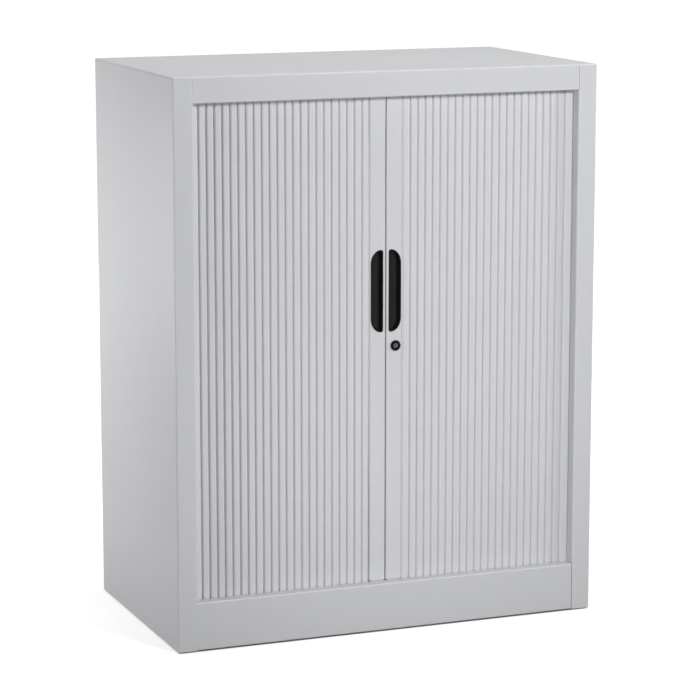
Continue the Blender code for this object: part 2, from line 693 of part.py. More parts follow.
def guide_shoe(level, side, finish, holder):
    """A plug in the stile's open end with a tongue that runs in the track's groove."""
    sign = 1 if level == "bottom" else -1
    end_z = LEAD_BOTTOM_Z if level == "bottom" else LEAD_TOP_Z
    track_z = end_z - sign * LEAD_END_ROOM
    floor_z = track_z - sign * (TRACK_HEIGHT - TRACK_FLOOR)
    inner = LEAD_WALL + SEAT_GAP
    plug_z = (track_z + sign * SEAT_GAP, end_z + sign * SHOE_PLUG_LENGTH)
    plug = block((LEAD_IN_X + inner, DOOR_FACE_Y + inner, min(plug_z)),
                 (LEAD_OUT_X - inner, LEAD_BACK_Y - inner, max(plug_z)))
    half = TRACK_GROOVE / 2 - SHOE_SIDE_CLEARANCE
    near_floor = SEAT_GAP if level == "bottom" else CURTAIN_LIFT_ROOM
    tongue_z = (floor_z + sign * near_floor, end_z - sign * SEAT_GAP)
    tongue = block((LEAD_IN_X + SHOE_TONGUE_END, CURTAIN_Y - half, min(tongue_z)),
                   (LEAD_OUT_X - SHOE_TONGUE_END, CURTAIN_Y + half, max(tongue_z)))
    return piece(f"guide_shoe_{level}_{side}", joined(plug, tongue), finish, holder, SIDES[side] == LEFT)


def grip_cup(side, finish, holder):
    """A moulded cup: a thin bezel on the stile's face and a bowl that deepens towards its middle."""
    bezel_y = DOOR_FACE_Y - SEAT_GAP
    front_y = bezel_y - GRIP_BEZEL
    back_y = LEAD_BACK_Y - LEAD_WALL - GRIP_BACK_ROOM
    rim = GRIP_BEZEL_OVERLAP + GRIP_RIM
    depth = back_y - front_y - GRIP_FLOOR
    slope = GRIP_BOWL_INSET_SHARE * (GRIP_OUT_X - GRIP_IN_X - 2 * rim)
    levels = [(GRIP_BEZEL_OVERLAP, back_y), (GRIP_BEZEL_OVERLAP, bezel_y), (0, bezel_y), (0, front_y)]
    for step in range(GRIP_BOWL_STEPS + 1):
        turn = math.pi / 2 * step / GRIP_BOWL_STEPS
        levels.append((rim + slope * (1 - math.cos(turn)), front_y + depth * math.sin(turn)))
    shape = lofted([[(x, y, z) for x, z in grip_outline(inset)] for inset, y in levels])
    return smooth(piece(f"grip_cup_{side}", shape, finish, holder, mirrored=SIDES[side] == LEFT))


def lock_housing(finish, holder):
    """A bevelled ring on the stile's face with a barrel through it, bored for the plug."""
    ring_back = -SEAT_GAP
    ring_front = ring_back - LOCK_RING_HEIGHT
    barrel_end = HOOK_FRONT_Y - LOCK_BARREL_ROOM - DOOR_FACE_Y
    profile = [
        (LOCK_BORE_RADIUS, ring_front),
        (LOCK_RING_RADIUS - LOCK_RING_BEVEL, ring_front),
        (LOCK_RING_RADIUS, ring_front + LOCK_RING_BEVEL),
        (LOCK_RING_RADIUS, ring_back),
        (LOCK_BARREL_RADIUS, ring_back),
        (LOCK_BARREL_RADIUS, barrel_end),
        (LOCK_BORE_RADIUS, barrel_end),
    ]
    shape = turned(profile, LOCK_SIDES, (LOCK_X, DOOR_FACE_Y, LOCK_Z), "y")
    return smooth(piece("lock_housing", shape, finish, holder))


def lock_nut(finish, holder):
    """The nut that draws the housing against the stile from behind."""
    centre = (LOCK_X, DOOR_FACE_Y + LEAD_WALL + SEAT_GAP, LOCK_Z)
    shape = nut(LOCK_NUT_RADIUS, LOCK_BARREL_RADIUS + LOCK_RUNNING_GAP, LOCK_NUT_HEIGHT, centre, "y")
    return piece("lock_nut", shape, finish, holder)


def lock_plug(finish, holder):
    """The part the key turns: a plug with a keyway in front and a square tang, bored for a screw, behind."""
    front = -SEAT_GAP - LOCK_RING_HEIGHT + LOCK_PLUG_RECESS
    shoulder = HOOK_FRONT_Y - SEAT_GAP - DOOR_FACE_Y
    radius = LOCK_BORE_RADIUS - LOCK_RUNNING_GAP
    profile = [(0, front), (radius, front), (radius, shoulder), (0, shoulder)]
    body = turned(profile, LOCK_SIDES, (LOCK_X, DOOR_FACE_Y, LOCK_Z), "y")
    half = LOCK_TANG / 2
    tang = block((LOCK_X - half, DOOR_FACE_Y + shoulder - CUT_OVERRUN, LOCK_Z - half),
                 (LOCK_X + half, HOOK_BACK_Y - SEAT_GAP, LOCK_Z + half))
    face_y = DOOR_FACE_Y + front
    keyway = block((LOCK_X - KEYWAY_WIDTH / 2, face_y - CUT_OVERRUN, LOCK_Z - KEYWAY_HEIGHT / 2),
                   (LOCK_X + KEYWAY_WIDTH / 2, face_y + KEYWAY_DEPTH, LOCK_Z + KEYWAY_HEIGHT / 2))
    bore = HOOK_SCREW_RADIUS + LOCK_RUNNING_GAP
    bore_profile = [(0, -HOOK_SHEET), (bore, -HOOK_SHEET), (bore, CUT_OVERRUN), (0, CUT_OVERRUN)]
    hole = turned(bore_profile, FOOT_SIDES, (LOCK_X, HOOK_BACK_Y - SEAT_GAP, LOCK_Z), "y")
    return smooth(piece("lock_plug", cut(joined(body, tang), keyway, hole), finish, holder))


def lock_hook(finish, holder):
    """A hook that hangs down at rest and swings through the gap to catch behind the strike."""
    toe = (HOOK_TOE_RADIUS, HOOK_TOE_RADIUS + HOOK_TOE_WIDTH)
    arm_angle = math.degrees(math.asin(HOOK_ARM_WIDTH / toe[1]))
    hub_angle = math.degrees(math.asin(HOOK_ARM_WIDTH / HOOK_HUB_RADIUS))
    centre = (LOCK_X, LOCK_Z)
    down = 270
    outline = arc(centre, (toe[0], toe[0]), down, down - HOOK_TOE_DEGREES, HOOK_TOE_STEPS)
    outline += arc(centre, (toe[1], toe[1]), down - HOOK_TOE_DEGREES, down + arm_angle, HOOK_TOE_STEPS * 2)
    hub = (HOOK_HUB_RADIUS, HOOK_HUB_RADIUS)
    outline += arc(centre, hub, down + hub_angle, down + 360, HOOK_HUB_STEPS)
    shape = prism(outline, "y", HOOK_FRONT_Y, HOOK_BACK_Y)
    half = LOCK_TANG / 2 + LOCK_RUNNING_GAP
    square = block((LOCK_X - half, HOOK_FRONT_Y - CUT_OVERRUN, LOCK_Z - half),
                   (LOCK_X + half, HOOK_BACK_Y + CUT_OVERRUN, LOCK_Z + half))
    return piece("lock_hook", cut(shape, square), finish, holder)


def hook_screw(finish, holder):
    """The screw that holds the hook on the plug's tang."""
    head = SEAT_GAP + HOOK_SCREW_HEAD_HEIGHT
    profile = [
        (0, SEAT_GAP - HOOK_SHEET),
        (HOOK_SCREW_RADIUS, SEAT_GAP - HOOK_SHEET),
        (HOOK_SCREW_RADIUS, SEAT_GAP),
        (HOOK_SCREW_HEAD_RADIUS, SEAT_GAP),
        (HOOK_SCREW_HEAD_RADIUS, head),
        (0, head),
    ]
    shape = turned(profile, FOOT_SIDES, (LOCK_X, HOOK_BACK_Y, LOCK_Z), "y")
    return smooth(piece("hook_screw", shape, finish, holder))


def strike_plate(finish, holder):
    """A slotted plate inside the left lead stile; the hook's toe rises behind its upper edge."""
    inner = LEAD_WALL + SEAT_GAP
    low = (STRIKE_FACE_X, DOOR_FACE_Y + inner, LOCK_Z - STRIKE_BELOW)
    high = (STRIKE_FACE_X + STRIKE_SHEET, LEAD_BACK_Y - inner, LOCK_Z + STRIKE_ABOVE)
    slot = hook_slot(STRIKE_FACE_X - CUT_OVERRUN, STRIKE_FACE_X + STRIKE_SHEET + CUT_OVERRUN, 0)
    return piece("strike_plate", cut(block(low, high), slot), finish, holder, mirrored=True)


def slot_heights():
    """The middle of each slot in a shelf upright."""
    first = DECK_Z + SLOT_END_MARGIN
    count = math.floor((CEILING_Z - SLOT_END_MARGIN - first) / SLOT_PITCH) + 1
    return [first + number * SLOT_PITCH for number in range(count)]


def upright_places():
    """The middle of the front and the rear upright, along Y."""
    return {"front": LINER_FRONT_Y + UPRIGHT_FRONT_INSET, "rear": TRAY_BACK_Y - UPRIGHT_REAR_INSET}


def shelf_upright(place, side, finish):
    """A channel on the liner with a ladder of slots for the shelf clips."""
    middle_y = upright_places()[place]
    foot_x = LINER_HOLLOW_X - SEAT_GAP
    half = UPRIGHT_WIDTH / 2
    path = [
        (foot_x, middle_y + half),
        (UPRIGHT_FACE_X, middle_y + half),
        (UPRIGHT_FACE_X, middle_y - half),
        (foot_x, middle_y - half),
    ]
    outline = folded(path[::-1], UPRIGHT_SHEET)
    shape = prism(outline, "z", DECK_Z + UPRIGHT_END_MARGIN, CEILING_Z - UPRIGHT_END_MARGIN)
    rungs = bmesh.new()
    for height in slot_heights():
        size = Matrix.Diagonal((CUT_OVERRUN + UPRIGHT_SHEET, SLOT_WIDTH, SLOT_HEIGHT, 1))
        spot = Matrix.Translation((UPRIGHT_FACE_X + UPRIGHT_SHEET / 2, middle_y, height))
        bmesh.ops.create_cube(rungs, size=1, matrix=spot @ size)
    name = f"shelf_upright_{place}_{side}"
    return piece(name, cut(shape, rungs), finish, mirrored=SIDES[side] == LEFT)


def clip_outline():
    """A shelf clip in X and Z about its slot: a ledge, a leg down the upright and a hooked tongue."""
    leg = SEAT_GAP + CLIP_SHEET
    top = SLOT_HEIGHT / 2 - SEAT_GAP
    under = top - CLIP_SHEET
    catch = UPRIGHT_SHEET + SEAT_GAP
    return [
        (-SEAT_GAP - CLIP_LEDGE, top), (catch + CLIP_SHEET, top), (catch + CLIP_SHEET, under - CLIP_HOOK),
        (catch, under - CLIP_HOOK), (catch, under), (-SEAT_GAP, under), (-SEAT_GAP, top - CLIP_LEG),
        (-leg, top - CLIP_LEG), (-leg, under), (-SEAT_GAP - CLIP_LEDGE, under),
    ]


def shelf_levels():
    """The slot that each shelf's clips hang in."""
    heights = slot_heights()
    return [heights[round(share * (len(heights) - 1))] for share in SHELF_SHARES]


def shelves_and_clips(shelf_finish, clip_finish):
    """Two folded shelves, each on four clips hooked into the uprights."""
    clip = piece("shelf_clip_1", prism(clip_outline(), "y", -CLIP_WIDTH / 2, CLIP_WIDTH / 2), clip_finish)
    places = []
    for level in shelf_levels():
        for y in upright_places().values():
            places.append(((UPRIGHT_FACE_X, y, level), 0))
            places.append(((-UPRIGHT_FACE_X, y, level), math.pi))
    clip.location, clip.rotation_euler.z = places[0]
    copies(clip, [(f"shelf_clip_{number}", *place) for number, place in enumerate(places[1:], 2)])
    end_x = UPRIGHT_FACE_X - SEAT_GAP - CLIP_SHEET - SHELF_END_CLEARANCE
    front_y = LINER_FRONT_Y + LINER_HEM + SHELF_FRONT_ROOM
    shape = tray((-end_x, front_y, 0), (end_x, TRAY_BACK_Y - SHELF_REAR_ROOM, SHELF_FLANGE), -1)
    lower, upper = [level + SLOT_HEIGHT / 2 for level in shelf_levels()]
    shelf = piece("shelf_lower", shape, shelf_finish)
    shelf.location.z = lower
    copies(shelf, [("shelf_upper", (0, 0, upper), 0)])


def foot_places():
    """Where the four levelling feet stand."""
    x = SIDE_X - FOOT_SIDE_INSET
    rows = {"front": FRONT_Y + FOOT_FRONT_INSET, "rear": BACK_Y - FOOT_REAR_INSET}
    return {f"{row}_{side}": (sign * x, y, 0) for row, y in rows.items() for side, sign in SIDES.items()}


def foot_pad_shape():
    """A round pad with a socket for its stem."""
    socket = FOOT_STEM_RADIUS + FOOT_RUNNING_GAP
    profile = [
        (0, 0), (FOOT_PAD_RADIUS, 0), (FOOT_PAD_RADIUS, FOOT_PAD_RIM), (FOOT_PAD_TOP_RADIUS, FOOT_PAD_HEIGHT),
        (socket, FOOT_PAD_HEIGHT), (socket, FOOT_PAD_FLOOR), (0, FOOT_PAD_FLOOR),
    ]
    return turned(profile, FOOT_SIDES, (0, 0, 0))


def foot_stem_shape():
    """A stem with a round collar that stops under the bracket."""
    top = DECK_Z - CARCASS_SHEET - SEAT_GAP - BRACKET_SHEET - FOOT_STEM_HEADROOM
    collar = FOOT_COLLAR_TOP - FOOT_COLLAR_HEIGHT
    profile = [
        (0, FOOT_PAD_FLOOR + SEAT_GAP), (FOOT_STEM_RADIUS, FOOT_PAD_FLOOR + SEAT_GAP),
        (FOOT_STEM_RADIUS, collar), (FOOT_COLLAR_RADIUS, collar), (FOOT_COLLAR_RADIUS, FOOT_COLLAR_TOP),
        (FOOT_STEM_RADIUS, FOOT_COLLAR_TOP), (FOOT_STEM_RADIUS, top), (0, top),
    ]
    return turned(profile, FOOT_SIDES, (0, 0, 0))


def foot_bracket_shape():
    """A channel hung under the base, drilled for the stem and, above it, for the screwdriver."""
    top_z = DECK_Z - CARCASS_SHEET - SEAT_GAP
    low_z = FOOT_COLLAR_TOP + SEAT_GAP
    path = [
        (-BRACKET_REACH, top_z), (BRACKET_WEB_OFFSET, top_z),
        (BRACKET_WEB_OFFSET, low_z), (-BRACKET_REACH, low_z),
    ]
    half = BRACKET_LENGTH / 2
    channel = prism(folded(path, BRACKET_SHEET), "y", -half, half)
    radius = FOOT_STEM_RADIUS + FOOT_RUNNING_GAP
    hole = [(0, low_z - CUT_OVERRUN), (radius, low_z - CUT_OVERRUN),
            (radius, low_z + BRACKET_SHEET + CUT_OVERRUN), (0, low_z + BRACKET_SHEET + CUT_OVERRUN)]
    upper_hole = adjuster_hole((0, 0, 0), top_z - BRACKET_SHEET, top_z)
    return cut(channel, turned(hole, FOOT_SIDES, (0, 0, 0)), upper_hole)


def adjuster_hole(spot, low_z, high_z):
    """The tool for a round hole above a foot, where a screwdriver reaches the stem."""
    profile = [
        (0, low_z - CUT_OVERRUN), (ADJUSTER_HOLE_RADIUS, low_z - CUT_OVERRUN),
        (ADJUSTER_HOLE_RADIUS, high_z + CUT_OVERRUN), (0, high_z + CUT_OVERRUN),
    ]
    return turned(profile, FOOT_SIDES, spot)


def levelling_feet(steel, plastic):
    """Four feet: pad and stem on a holder of their own, bracket and nut fixed under the base."""
    nut_z = FOOT_COLLAR_TOP + SEAT_GAP + BRACKET_SHEET + SEAT_GAP
    nut_hole = FOOT_STEM_RADIUS + FOOT_RUNNING_GAP
    meshes = {
        "pad": smooth(piece("foot_pad", foot_pad_shape(), plastic)),
        "stem": smooth(piece("foot_stem", foot_stem_shape(), steel)),
        "bracket": piece("foot_bracket", foot_bracket_shape(), steel),
        "nut": piece("foot_nut", nut(FOOT_NUT_RADIUS, nut_hole, FOOT_NUT_HEIGHT, (0, 0, nut_z), "z"), steel),
    }
    for place, spot in foot_places().items():
        holder = empty(f"foot_axis_{place}", spot)
        turn = 0 if spot[0] > 0 else math.pi
        for part, pattern in meshes.items():
            made = bpy.data.objects.new(f"foot_{part}_{place}", pattern.data)
            made.rotation_euler.z = turn
            made.parent = holder
            bpy.context.scene.collection.objects.link(made)
    for pattern in meshes.values():
        bpy.data.objects.remove(pattern)


def build():
    """Clears the scene and makes every piece."""
    for old in list(bpy.data.objects):
        bpy.data.objects.remove(old)
    grey, ribs, lead = paint(), ribbed_plastic(), lead_finish()
    black, steel = black_plastic(), plated_steel()
    top_panel(grey)
    inner_top_panel(grey)
    base_panel(grey)
    plinth_panel(grey)
    back_panel(grey)
    for side, sign in SIDES.items():
        holder = empty(f"door_slide_{side}", (sign * LEAD_IN_X, CURTAIN_Y, LEAD_BOTTOM_Z))
        side_panel(side, grey)
        liner(side, grey)
        curtain(side, ribs)
        lead_stile(side, lead, holder)
        grip_cup(side, black, holder)
        for level in ("top", "bottom"):
            guide_track(level, side, ribs)
            guide_shoe(level, side, black, holder)
        for place in upright_places():
            shelf_upright(place, side, grey)
        if side == "right":
            lock_housing(black, holder)
            lock_nut(steel, holder)
        else:
            strike_plate(steel, holder)
    lock_axis = empty("lock_axis", (LOCK_X, DOOR_FACE_Y, LOCK_Z))
    lock_plug(steel, lock_axis)
    lock_hook(steel, lock_axis)
    hook_screw(steel, lock_axis)
    shelves_and_clips(grey, steel)
    levelling_feet(steel, black)


build()
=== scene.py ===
import json
import math

import bmesh
import bpy
from mathutils import Matrix, Vector


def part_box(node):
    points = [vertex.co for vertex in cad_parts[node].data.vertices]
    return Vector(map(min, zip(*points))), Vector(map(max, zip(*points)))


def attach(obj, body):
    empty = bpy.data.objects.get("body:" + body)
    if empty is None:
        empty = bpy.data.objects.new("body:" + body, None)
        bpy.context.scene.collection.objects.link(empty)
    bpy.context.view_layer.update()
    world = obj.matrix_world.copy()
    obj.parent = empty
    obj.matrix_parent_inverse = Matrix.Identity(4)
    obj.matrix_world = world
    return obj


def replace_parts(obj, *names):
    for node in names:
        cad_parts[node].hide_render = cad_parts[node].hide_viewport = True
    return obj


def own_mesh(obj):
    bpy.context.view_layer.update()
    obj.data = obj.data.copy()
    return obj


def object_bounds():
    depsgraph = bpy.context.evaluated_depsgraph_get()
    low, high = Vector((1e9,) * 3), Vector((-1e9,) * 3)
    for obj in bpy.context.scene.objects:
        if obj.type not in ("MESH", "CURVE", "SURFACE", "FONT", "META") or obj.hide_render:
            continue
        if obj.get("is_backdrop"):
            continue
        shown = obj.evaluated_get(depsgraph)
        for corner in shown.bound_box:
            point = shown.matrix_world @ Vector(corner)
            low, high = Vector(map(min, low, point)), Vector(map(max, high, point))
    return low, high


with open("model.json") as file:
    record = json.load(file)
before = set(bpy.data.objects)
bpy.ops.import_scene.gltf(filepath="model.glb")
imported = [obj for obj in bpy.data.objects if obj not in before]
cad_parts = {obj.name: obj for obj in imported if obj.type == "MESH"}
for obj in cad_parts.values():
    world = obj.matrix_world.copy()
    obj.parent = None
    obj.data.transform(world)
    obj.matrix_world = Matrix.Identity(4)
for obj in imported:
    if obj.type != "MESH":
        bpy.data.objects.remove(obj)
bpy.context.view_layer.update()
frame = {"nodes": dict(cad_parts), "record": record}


# The camera stands to the left of the doors, a little above the top, and looks down through a long
# lens, so that the left side, the front and a thin slice of the top are seen.
CAMERA_PLACE = (-1.836, -4.649, 1.397)
CAMERA_DOWN, CAMERA_TURN = 10.44, -21.70
LENS, SENSOR = 141.2, 36.0
FARTHEST_SEEN = 200.0
camera = bpy.data.objects.new("camera", bpy.data.cameras.new("camera"))
camera.data.lens = LENS
camera.data.sensor_width = SENSOR
camera.data.clip_end = FARTHEST_SEEN
camera.location = CAMERA_PLACE
camera.rotation_euler = (math.radians(90 - CAMERA_DOWN), 0.0, math.radians(CAMERA_TURN))
bpy.context.scene.collection.objects.link(camera)
bpy.context.scene.camera = camera
bpy.context.scene.view_settings.view_transform = "Standard"


# The studio: a pale floor that runs to the horizon and keeps the cupboard's shadow, white surroundings
# for the camera and for reflections, and a dim even light on everything else. Nine soft lamps stand
# round the cupboard, and key_box gives most of the light on the doors.
FLOOR_RADIUS = 60.0
FOOTPRINT = (0.400, 0.230, 0.0)
SURROUND_LIGHT = 0.12
SURROUND_COLOR = (0.97, 0.98, 1.0, 1.0)
WHITE = (1.0, 1.0, 1.0, 1.0)
PALE_FLOOR = (0.55, 0.55, 0.56, 1.0)
DULL_FLOOR = (0.22, 0.22, 0.225, 1.0)
GLOW_FROM, GLOW_FULL, EDGE_GLOW = -0.0040, 0.0005, 0.66
FADE_REACH, FADE_GLOW = 0.7, 0.34
LAMPS = [
    ("key_box", (0.42, -1.95, 1.55), (0.15, -0.2, 0.75), 0.3, 21.8),
    ("left_box", (-4.6, -1.2, 0.9), (0.0, 0.0, 0.6), 1.2, 45.7),
    ("right_box", (2.2, -1.3, 0.95), (0.1, -0.2, 0.6), 0.8, 12.0),
    ("far_side_box", (4.4, 1.1, 0.85), (0.3, 0.0, 0.5), 1.2, 38.0),
    ("low_box", (-0.4, -1.6, 0.5), (0.0, -0.2, 0.5), 0.5, 1.2),
    ("near_box", (0.05, -0.95, 0.16), (0.0, -0.2, 0.3), 0.4, 1.2),
    ("side_box", (-1.1, 0.6, 0.62), (-0.4, 0.1, 0.6), 0.5, 4.3),
    ("top_box", (0.3, 0.3, 3.4), (0.0, 0.0, 1.0), 1.6, 32.0),
    ("back_box", (0.5, 4.2, 0.45), (0.0, 0.2, 0.5), 1.1, 52.5),
]


def add_node(tree, kind, sockets=None, **settings):
    """Adds a shader node; each socket gets a plain value, or a link from another node's output."""
    node = tree.nodes.new("ShaderNode" + kind)
    for name, value in settings.items():
        setattr(node, name, value)
    for name, value in (sockets or {}).items():
        if isinstance(value, bpy.types.NodeSocket):
            tree.links.new(value, node.inputs[name])
        else:
            node.inputs[name].default_value = value
    return node


def seen_rays(tree):
    """1 for rays from the camera, from a glossy surface or through glass, and 0 for the light's own rays."""
    path = add_node(tree, "LightPath")
    either = add_node(tree, "Math", {0: path.outputs["Is Camera Ray"], 1: path.outputs["Is Glossy Ray"]},
                      operation="MAXIMUM")
    seen = add_node(tree, "Math", {0: either.outputs[0], 1: path.outputs["Is Transmission Ray"]},
                    operation="MAXIMUM")
    return seen.outputs[0]


def studio_world():
    """White to the camera and in reflections, and dim to the light that reaches the cupboard."""
    world = bpy.data.worlds.new("studio")
    world.use_nodes = True
    tree = world.node_tree
    tree.nodes.clear()
    dim = add_node(tree, "Background", {"Color": SURROUND_COLOR, "Strength": SURROUND_LIGHT})
    white = add_node(tree, "Background", {"Color": WHITE, "Strength": 1.0})
    mix = add_node(tree, "MixShader", {0: seen_rays(tree), 1: dim.outputs[0], 2: white.outputs[0]})
    add_node(tree, "OutputWorld", {"Surface": mix.outputs[0]})
    bpy.context.scene.world = world


def studio_floor():
    """A disc that glows a little past the cupboard's outline, so that its lit floor comes out white."""
    material = bpy.data.materials.new("studio_floor")
    material.use_nodes = True
    tree = material.node_tree
    tree.nodes.clear()
    place = add_node(tree, "TexCoord")
    outwards = add_node(tree, "VectorMath", {0: place.outputs["Object"]}, operation="ABSOLUTE")
    past = add_node(tree, "VectorMath", {0: outwards.outputs[0], 1: FOOTPRINT}, operation="SUBTRACT")
    sides = add_node(tree, "SeparateXYZ", {0: past.outputs[0]})
    away = add_node(tree, "Math", {0: sides.outputs[0], 1: sides.outputs[1]}, operation="MAXIMUM")
    edge = add_node(tree, "MapRange", {0: away.outputs[0], 1: GLOW_FROM, 2: GLOW_FULL, 3: 0.0, 4: EDGE_GLOW})
    beyond = add_node(tree, "MapRange", {0: away.outputs[0], 1: 0.0, 2: FADE_REACH, 3: 0.0, 4: FADE_GLOW})
    level = add_node(tree, "Math", {0: edge.outputs[0], 1: beyond.outputs[0]}, operation="ADD")
    glow = add_node(tree, "Emission", {"Color": WHITE, "Strength": level.outputs[0]})
    pale = add_node(tree, "BsdfDiffuse", {"Color": PALE_FLOOR})
    lit = add_node(tree, "AddShader", {0: glow.outputs[0], 1: pale.outputs[0]})
    dull = add_node(tree, "BsdfDiffuse", {"Color": DULL_FLOOR})
    mix = add_node(tree, "MixShader", {0: seen_rays(tree), 1: dull.outputs[0], 2: lit.outputs[0]})
    add_node(tree, "OutputMaterial", {"Surface": mix.outputs[0]})
    disc = bmesh.new()
    bmesh.ops.create_circle(disc, cap_ends=True, segments=64, radius=FLOOR_RADIUS)
    mesh = bpy.data.meshes.new("floor")
    disc.to_mesh(mesh)
    disc.free()
    mesh.materials.append(material)
    floor = bpy.data.objects.new("floor", mesh)
    bpy.context.scene.collection.objects.link(floor)
    floor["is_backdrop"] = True


def soft_box(name, place, aim, size, watts):
    """A square diffused lamp at a place, turned to what it lights and not seen by the camera itself."""
    lamp = bpy.data.lights.new(name, "AREA")
    lamp.shape = "SQUARE"
    lamp.size = size
    lamp.energy = watts
    box = bpy.data.objects.new(name, lamp)
    box.location = place
    box.rotation_euler = (Vector(aim) - Vector(place)).to_track_quat("-Z", "Y").to_euler()
    box.visible_camera = False
    bpy.context.scene.collection.objects.link(box)


studio_world()
studio_floor()
for lamp in LAMPS:
    soft_box(*lamp)


# Base panel: a pressed steel tray, flanges down, spot-welded between the side panels to carry the lower
# tracks, powder coated with the rest of the carcass; its cut edges are eased by the coating.
COAT_COLOR = (0.600, 0.606, 0.620)
# The coat's lighter edge colour is partly wear and partly a painted highlight along its edges and bends.
COAT_WORN_AND_LIT = (0.860, 0.865, 0.875)
COAT_EASE = 0.00025
EASE_STEPS = 2
MERGE_REACH = 0.000002
FLAT_DEGREES = 0.3
CLOUD_SCALE, SPECK_SCALE, EDGE_PATCH_SCALE = 5.0, 900.0, 60.0
GLOSS_SWING = 0.16
TURN_STARTS, TURN_FULL = 0.999, 0.95
PATCH_FROM, PATCH_TO, LEAST_EDGE_SHARE = 0.35, 0.65, 0.35
# How far the painted shade in grooves and corners reaches, and how dark it makes the colour.
SHADE_REACH, SHADE_DARKNESS = 0.004, 0.35


def effect(name, inputs, outputs):
    """An empty node group with named sockets, and its own input and output nodes."""
    group = bpy.data.node_groups.new(name, "ShaderNodeTree")
    for label, value in inputs.items():
        kind = "NodeSocketColor" if isinstance(value, tuple) else "NodeSocketFloat"
        group.interface.new_socket(label, in_out="INPUT", socket_type=kind).default_value = value
    for label, kind in outputs.items():
        group.interface.new_socket(label, in_out="OUTPUT", socket_type="NodeSocket" + kind)
    return group, group.nodes.new("NodeGroupInput").outputs, group.nodes.new("NodeGroupOutput").inputs


def tone_effect():
    """Broad cloudy patches and fine specks that shift a finish's colour and gloss a little."""
    tree, given, made = effect(
        "coat_tone", {"Color": (0.6, 0.6, 0.6, 1.0), "Roughness": 0.45, "Patches": 0.03, "Specks": 0.02},
        {"Color": "Color", "Roughness": "Float"})
    place = add_node(tree, "TexCoord").outputs["Object"]
    cloud = add_node(tree, "TexNoise", {"Vector": place, "Scale": CLOUD_SCALE, "Detail": 3.0}).outputs[0]
    speck = add_node(tree, "TexNoise", {"Vector": place, "Scale": SPECK_SCALE, "Detail": 2.0}).outputs[0]

    def swing(noise, share):
        centred = add_node(tree, "Math", {0: noise, 1: 0.5}, operation="SUBTRACT").outputs[0]
        return add_node(tree, "Math", {0: centred, 1: share}, operation="MULTIPLY").outputs[0]

    both = add_node(tree, "Math", {0: swing(cloud, given["Patches"]), 1: swing(speck, given["Specks"])},
                    operation="ADD").outputs[0]
    level = add_node(tree, "Math", {0: both, 1: 1.0}, operation="ADD").outputs[0]
    color = add_node(tree, "VectorMath", {0: given["Color"], "Scale": level}, operation="SCALE")
    tree.links.new(color.outputs[0], made["Color"])
    gloss = add_node(tree, "Math", {0: swing(cloud, GLOSS_SWING), 1: given["Roughness"]}, operation="ADD")
    tree.links.new(gloss.outputs[0], made["Roughness"])
    return tree


def wear_and_highlight_effect():
    """A broken line along edges and bends, from how far the surface turns within a small radius; the lighter
    colour it brings is partly wear and partly a painted highlight.
    """
    tree, given, made = effect("edge_wear_and_highlight", {"Reach": 0.001, "Amount": 0.5}, {"Mask": "Float"})
    true_normal = add_node(tree, "NewGeometry").outputs["Normal"]
    eased = add_node(tree, "Bevel", {"Radius": given["Reach"]}, samples=4).outputs[0]
    same = add_node(tree, "VectorMath", {0: true_normal, 1: eased}, operation="DOT_PRODUCT").outputs["Value"]
    turned = add_node(tree, "MapRange", {0: same, 1: TURN_STARTS, 2: TURN_FULL, 3: 0.0, 4: 1.0}).outputs[0]
    place = add_node(tree, "TexCoord").outputs["Object"]
    patchy = add_node(tree, "TexNoise", {"Vector": place, "Scale": EDGE_PATCH_SCALE, "Detail": 3.0}).outputs[0]
    broken = add_node(tree, "MapRange",
                      {0: patchy, 1: PATCH_FROM, 2: PATCH_TO, 3: LEAST_EDGE_SHARE, 4: 1.0}).outputs[0]
    mask = add_node(tree, "Math", {0: turned, 1: broken}, operation="MULTIPLY").outputs[0]
    strength = add_node(tree, "Math", {0: mask, 1: given["Amount"]}, operation="MULTIPLY").outputs[0]
    tree.links.new(strength, made["Mask"])
    return tree


def shade_in_grooves_effect():
    """How deep a spot lies in a groove or corner of its own piece; the mask paints shade there."""
    tree, given, made = effect("groove_painted_shade", {"Reach": 0.004, "Amount": 0.5}, {"Mask": "Float"})
    clear = add_node(tree, "AmbientOcclusion", {"Distance": given["Reach"]}, samples=8, only_local=True)
    deep = add_node(tree, "Math", {0: 1.0, 1: clear.outputs["AO"]}, operation="SUBTRACT").outputs[0]
    strength = add_node(tree, "Math", {0: deep, 1: given["Amount"]}, operation="MULTIPLY").outputs[0]
    tree.links.new(strength, made["Mask"])
    return tree


def grain_effect():
    """Fine relief in millimetres across and upright: orange peel, moulding grain or drawn lines."""
    tree, given, made = effect("surface_grain", {"Across mm": 1.5, "Upright mm": 1.5}, {"Height": "Float"})
    across = add_node(tree, "Math", {0: 1000.0, 1: given["Across mm"]}, operation="DIVIDE").outputs[0]
    upright = add_node(tree, "Math", {0: 1000.0, 1: given["Upright mm"]}, operation="DIVIDE").outputs[0]
    scale = add_node(tree, "CombineXYZ", {0: across, 1: across, 2: upright}).outputs[0]
    place = add_node(tree, "TexCoord").outputs["Object"]
    scaled = add_node(tree, "VectorMath", {0: place, 1: scale}, operation="MULTIPLY").outputs[0]
    relief = add_node(tree, "TexNoise", {"Vector": scaled, "Scale": 1.0, "Detail": 2.0}).outputs[0]
    tree.links.new(relief, made["Height"])
    return tree


coat_tone = tone_effect()
edge_wear_and_highlight = wear_and_highlight_effect()
groove_painted_shade = shade_in_grooves_effect()
surface_grain = grain_effect()


